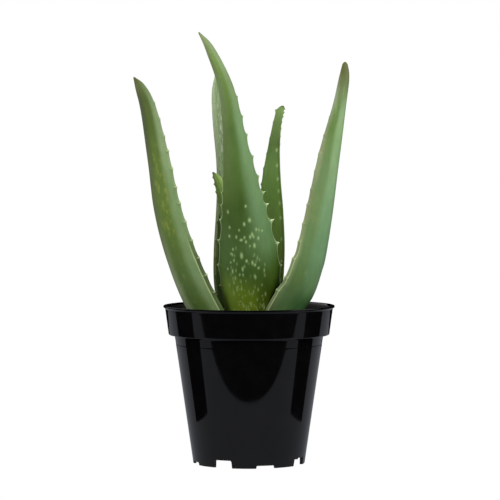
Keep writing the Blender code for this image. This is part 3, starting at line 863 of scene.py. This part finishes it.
def pot_material():
    n = Skin("pot_black_plastic")
    place = n.where()
    mottled = n.noise(place, 60.0, 4.0, 0.6)
    fine = n.noise(place, 900.0, 2.0, 0.5)
    colour = n.mix(n.span(mottled, 0.35, 0.75), (0.0012, 0.0012, 0.0014, 1), (0.0020, 0.0020, 0.0023, 1))
    dust = n.noise(place, 240.0, 5.0, 0.7)
    colour = n.mix(n.span(dust, 0.66, 0.82, 0.0, 0.05), colour, (0.04, 0.038, 0.035, 1))
    # the wall inside is dulled by earth and water
    dulled = n.times(n.number("inside"), 0.45)
    roughness = n.math("ADD", n.span(mottled, 0.25, 0.8, 0.05, 0.09), dulled)
    n.shader.inputs["IOR"].default_value = 1.49
    return n.finish(colour, roughness, n.bump(fine, 0.00002, 0.25))


# ---- soil ----
SOIL_LUMP, SOIL_CRUMB, SOIL_HEAP, CLEARANCE = 1.3 * MM, 0.32 * MM, 1.5 * MM, 0.35 * MM
HEAP_SPREAD = 1400.0    # square mm
SOIL_RINGS, SOIL_AROUND = 84, 300
SOIL_TONES = (0.030, 0.019, 0.012, 1), (0.085, 0.055, 0.034, 1)


def soil_height(x, y):
    """Gently lumpy, and heaped a little towards the plant. x and y run from the pot's axis."""
    u, v = x / MM, y / MM
    lumps = np.sin(u * 0.21 + 0.6) * np.cos(v * 0.17 - 0.3) + 0.6 * np.sin(u * 0.47 + v * 0.39)
    crumbs = np.sin(u * 1.31 + 1.7 * np.sin(v * 0.83)) * np.cos(v * 1.19 + 1.3 * np.sin(u * 0.71))
    crumbs = crumbs + 0.6 * np.sin(u * 2.7 + v * 1.9 + 2 * np.sin(v * 1.7))
    heap = np.exp(-(u * u + v * v) / HEAP_SPREAD)
    return SOIL_LEVEL + SOIL_LUMP * 0.5 * lumps + SOIL_CRUMB * crumbs + SOIL_HEAP * heap


def soil_rim():
    """Radius of the soil where it meets the wall of the pot."""
    low, high = LEDGE + 1.2 * MM, POT_TOP - LIP_THICKNESS
    share = (SOIL_LEVEL - low) / (high - low)
    return BAND_BOTTOM_RADIUS + (BAND_TOP_RADIUS - BAND_BOTTOM_RADIUS) * share - WALL - CLEARANCE


def make_soil():
    rim = soil_rim()
    turn = np.linspace(0, 2 * pi, SOIL_AROUND, endpoint=False)
    points = [(*AXIS, float(soil_height(0.0, 0.0)))]
    for ring in range(1, SOIL_RINGS + 1):
        radius = rim * ring / SOIL_RINGS
        points += ring_points(radius, turn, soil_height(radius * np.sin(turn), -radius * np.cos(turn)))
    for radius, z in reversed(INNER_WALL):
        points += ring_points(radius - CLEARANCE, turn, z + CLEARANCE)
    points.append((*AXIS, FLOOR + CLEARANCE))
    faces = turned_faces(SOIL_RINGS + len(INNER_WALL), SOIL_AROUND)
    piece = new_piece("soil_bed", points, faces, "soil")
    piece.data.materials.append(soil_material("potting_soil", *SOIL_TONES))
    return piece


def in_a_leaf(x, y):
    """Whether a place on the soil lies inside the foot of a leaf. x and y run from the axis, in mm."""
    for stations in LEAVES.values():
        (x0, y0, z0, w0, t0, _, b), (x1, y1, z1, w1, t1, _, _) = stations[:2]
        share = -z0 / (z1 - z0)
        cx, cy = x0 + (x1 - x0) * share, y0 + (y1 - y0) * share
        wide = (w0 + (w1 - w0) * share) / 2 + 1.0
        deep = (t0 + (t1 - t0) * share) / 2 + 5.0
        turn = radians(b)
        out = (x - cx) * cos(turn) + (y - cy) * sin(turn)
        side = -(x - cx) * sin(turn) + (y - cy) * cos(turn)
        if (out / deep) ** 2 + (side / wide) ** 2 < 1:
            return True
    return False


def pebble():
    """Points and faces of a coarse unit ball."""
    rings, around = 4, 8
    ball = [(0, 0, 1)]
    for ring in range(1, rings + 1):
        fall = pi * ring / (rings + 1)
        for k in range(around):
            swing = 2 * pi * (k + 0.5 * (ring % 2)) / around
            ball.append((sin(fall) * cos(swing), sin(fall) * sin(swing), cos(fall)))
    return np.array(ball + [(0, 0, -1)]), turned_faces(rings, around)


# Loose bits in the top of the soil: how many, their sizes in mm, how flat they are, the share of
# their height that is sunk, the seed of their scatter, and their dark and light colours.
BITS = {
    "soil_chips": (420, (2.0, 6.5), (0.20, 0.42), 0.25, 11,
                   (0.040, 0.022, 0.012, 1), (0.12, 0.070, 0.038, 1)),
    "soil_crumbs": (1500, (0.9, 2.4), (0.6, 0.95), 0.35, 12,
                    (0.022, 0.014, 0.009, 1), (0.070, 0.045, 0.028, 1)),
    "soil_perlite": (60, (1.2, 3.2), (0.7, 0.95), 0.35, 13,
                     (0.42, 0.40, 0.36, 1), (0.72, 0.70, 0.65, 1)),
}


def make_bits(name):
    """Loose pieces lying in the top of the soil, each a small uneven stone or chip."""
    count, sizes, flatness, sink, seed, dark, light = BITS[name]
    rng = np.random.default_rng(seed)
    rim = soil_rim() - 2 * MM
    ball, shape = pebble()
    points, faces, tints = [], [], []
    made = 0
    while made < count:
        radius = rim * np.sqrt(rng.random())
        turn = rng.uniform(0, 2 * pi)
        x, y = radius * cos(turn), radius * sin(turn)
        size = rng.uniform(*sizes) * MM
        if in_a_leaf(x / MM, y / MM):
            continue
        spread = np.array([1.0, rng.uniform(0.45, 0.9), rng.uniform(*flatness)])
        lumpy = 1 + 0.16 * rng.standard_normal((len(ball), 1))
        bit = ball * lumpy * spread * size / 2
        yaw, tilt = rng.uniform(0, 2 * pi), rng.normal(0, 0.35)
        turned = bit @ np.array([[cos(tilt), 0, sin(tilt)], [0, 1, 0], [-sin(tilt), 0, cos(tilt)]]).T
        turned = turned @ np.array([[cos(yaw), -sin(yaw), 0], [sin(yaw), cos(yaw), 0], [0, 0, 1]]).T
        lift = float(soil_height(x, y)) + size * spread[2] * (0.5 - sink)
        start = len(points)
        points += (turned + (AXIS[0] + x, AXIS[1] + y, lift)).tolist()
        faces += [tuple(start + v for v in face) for face in shape]
        tints += [rng.random()] * len(ball)
        made += 1
    piece = new_piece(name, points, faces)
    mark(piece, tint=tints)
    piece.data.materials.append(soil_material(name + "_surface", dark, light, tint=True))
    return piece


def soil_material(name, dark, light, tint=False):
    n = Skin(name)
    place = n.where()
    coarse = n.noise(place, 420.0, 5.0, 0.7)
    fine = n.noise(place, 2200.0, 3.0, 0.6)
    colour = n.mix(n.times(n.span(coarse, 0.3, 0.75), n.span(fine, 0.2, 0.7, 0.4, 1.0)), dark, light)
    if tint:
        colour = n.mix(n.number("tint"), n.tinted(colour, (0.55, 0.52, 0.5, 1)), colour)
    normal = n.bump(coarse, 0.0012, 0.8, n.bump(fine, 0.0004, 0.7))
    return n.finish(colour, n.span(fine, 0.2, 0.8, 0.80, 0.97), normal)


def stem_material():
    n = Skin("stem_bark")
    place = n.where()
    rings = n.noise(place, 300.0, 4.0, 0.6, (0.3, 0.3, 1.0))
    colour = n.mix(rings, (0.16, 0.12, 0.06, 1), (0.38, 0.33, 0.18, 1))
    return n.finish(colour, n.span(rings, 0.2, 0.8, 0.6, 0.8), n.bump(rings, 0.0006, 0.6))


# ---- studio ----
def aim(thing, target):
    way = Vector(target) - thing.location
    thing.rotation_euler = way.to_track_quat("-Z", "Y").to_euler()


def glow_material(name, colour, strength):
    material = bpy.data.materials.new(name)
    material.use_nodes = True
    tree = material.node_tree
    tree.nodes.clear()
    glow = tree.nodes.new("ShaderNodeEmission")
    glow.inputs["Color"].default_value = colour
    glow.inputs["Strength"].default_value = strength
    out = tree.nodes.new("ShaderNodeOutputMaterial")
    tree.links.new(glow.outputs[0], out.inputs["Surface"])
    return material


def sheet_of(name, corners, strength, seen=False, colour=(1, 1, 1, 1)):
    """A flat card of the studio, that is either seen itself or seen only in reflections."""
    mesh = bpy.data.meshes.new(name)
    corners = [tuple(float(v) for v in corner) for corner in corners]
    mesh.from_pydata(corners, [], [tuple(range(len(corners)))])
    card = bpy.data.objects.new(name, mesh)
    bpy.context.scene.collection.objects.link(card)
    mesh.materials.append(glow_material(name + "_glow", colour, strength))
    card.visible_camera = seen
    card.visible_diffuse = False
    card.visible_glossy = not seen
    card.visible_transmission = seen
    card.visible_shadow = False
    return card


def level_corners(left, right, front, back, z):
    return [(left, front, z), (right, front, z), (right, back, z), (left, back, z)]


def softbox(name, place, size, power):
    lamp = bpy.data.lights.new(name, "AREA")
    lamp.shape = "RECTANGLE"
    lamp.size, lamp.size_y = size
    lamp.energy = power
    light = bpy.data.objects.new(name, lamp)
    bpy.context.scene.collection.objects.link(light)
    light.location = place
    light.visible_camera = False
    light.visible_glossy = False
    aim(light, LAMPS_AIM)
    return light


def standing_card(name, bearing, span, distance, low, high, strength):
    """An upright card seen only in reflections. Bearings are in degrees from the front towards +X."""
    ends = [radians(bearing - span / 2), radians(bearing + span / 2)]
    feet = [(AXIS[0] + distance * sin(a), AXIS[1] - distance * cos(a)) for a in ends]
    corners = [(*feet[0], low), (*feet[1], low), (*feet[1], high), (*feet[0], high)]
    return sheet_of(name, corners, strength)


# Soft lamps: where they hang, their width and height in m, and their power in W.
LAMPS_AIM = (0, 0, 0.2)
LAMPS = {
    "key_right": ((0.75, -0.75, 0.70), (0.6, 0.8), 16),
    "fill_left": ((-0.85, -0.45, 0.60), (0.6, 0.8), 9),
    "fill_back": ((0.35, 1.00, 0.75), (0.8, 0.8), 6),
}
# Upright cards that only the pot mirrors: bearing and span in degrees, distance, foot, top, strength.
CARDS = {
    "right_card": (84, 50, 0.75, 0.24, 0.90, 1.1),
    "left_card": (-122, 56, 0.75, 0.24, 0.90, 0.7),
}
FLOOR_HALF, FLOOR_LEVEL = 6.0, -0.0002
TABLE_HALF, TABLE_FRONT, TABLE_BACK, TABLE_LEVEL = 0.70, 0.204, 0.90, -0.0004
TABLE_GLOW, TABLE_TINT = 0.285, (0.94, 0.99, 1.08, 1)
FLAG_OUT, FLAG_FRONT, FLAG_BACK, FLAG_TOP = 0.182, 0.062, 0.040, 0.12
WORLD_LIGHT = 0.62
MIRRORED_DARK = (0.004, 0.004, 0.0045, 1)


def make_studio():
    # the floor that is seen, and the table top that the glossy pot mirrors
    floor = level_corners(-FLOOR_HALF, FLOOR_HALF, -FLOOR_HALF, FLOOR_HALF, FLOOR_LEVEL)
    sheet_of("floor", floor, 1.0, seen=True)
    ax, ay = AXIS
    table = level_corners(ax - TABLE_HALF, ax + TABLE_HALF, ay - TABLE_FRONT, ay + TABLE_BACK, TABLE_LEVEL)
    sheet_of("table_top", table, TABLE_GLOW, colour=TABLE_TINT)
    # two black flags beside the pot, that it mirrors as dark strips
    front, back = ay - FLAG_FRONT, ay + FLAG_BACK
    for name, x in (("flag_left", ax - FLAG_OUT), ("flag_right", ax + FLAG_OUT)):
        sheet_of(name, [(x, front, 0.0), (x, back, 0.0), (x, back, FLAG_TOP), (x, front, FLAG_TOP)], 0.0)
    for name, settings in CARDS.items():
        standing_card(name, *settings)
    for name, settings in LAMPS.items():
        softbox(name, *settings)
    make_world()


def make_world():
    """White to the camera, a soft light to rough surfaces, and nearly black where it is mirrored."""
    world = bpy.data.worlds.new("studio")
    bpy.context.scene.world = world
    world.use_nodes = True
    tree = world.node_tree
    soft = tree.nodes["Background"]
    white = tree.nodes.new("ShaderNodeBackground")
    dark = tree.nodes.new("ShaderNodeBackground")
    soft.inputs["Color"].default_value = (1, 1, 1, 1)
    soft.inputs["Strength"].default_value = WORLD_LIGHT
    white.inputs["Color"].default_value = (1, 1, 1, 1)
    dark.inputs["Color"].default_value = MIRRORED_DARK
    path = tree.nodes.new("ShaderNodeLightPath")
    below = soft
    for ray, shade in (("Is Glossy Ray", dark), ("Is Camera Ray", white)):
        choice = tree.nodes.new("ShaderNodeMixShader")
        tree.links.new(path.outputs[ray], choice.inputs[0])
        tree.links.new(below.outputs[0], choice.inputs[1])
        tree.links.new(shade.outputs[0], choice.inputs[2])
        below = choice
    tree.links.new(below.outputs[0], tree.nodes["World Output"].inputs["Surface"])
    bpy.context.scene.view_settings.view_transform = "Standard"


CAMERA_LENS, CAMERA_SENSOR = 203.2, 36.0    # mm
CAMERA_ASIDE, CAMERA_AWAY = 0.9 * MM, 2.5
CAMERA_HEIGHT, CAMERA_LOOKS_AT = 0.295, 0.189


def make_camera():
    lens = bpy.data.cameras.new("camera")
    lens.lens = CAMERA_LENS
    lens.sensor_width = CAMERA_SENSOR
    lens.clip_end = 50.0
    camera = bpy.data.objects.new("camera", lens)
    bpy.context.scene.collection.objects.link(camera)
    camera.location = (AXIS[0] + CAMERA_ASIDE, AXIS[1] - CAMERA_AWAY, CAMERA_HEIGHT)
    aim(camera, (AXIS[0] + CAMERA_ASIDE, AXIS[1], CAMERA_LOOKS_AT))
    bpy.context.scene.camera = camera


# ---- the plant ----
make_camera()
make_studio()
for leaf_name in LEAVES:
    make_leaf(leaf_name)
make_pot()
make_soil()
for bits_name in BITS:
    make_bits(bits_name)
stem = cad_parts["stem"]
stem.data.materials.clear()
stem.data.materials.append(stem_material())
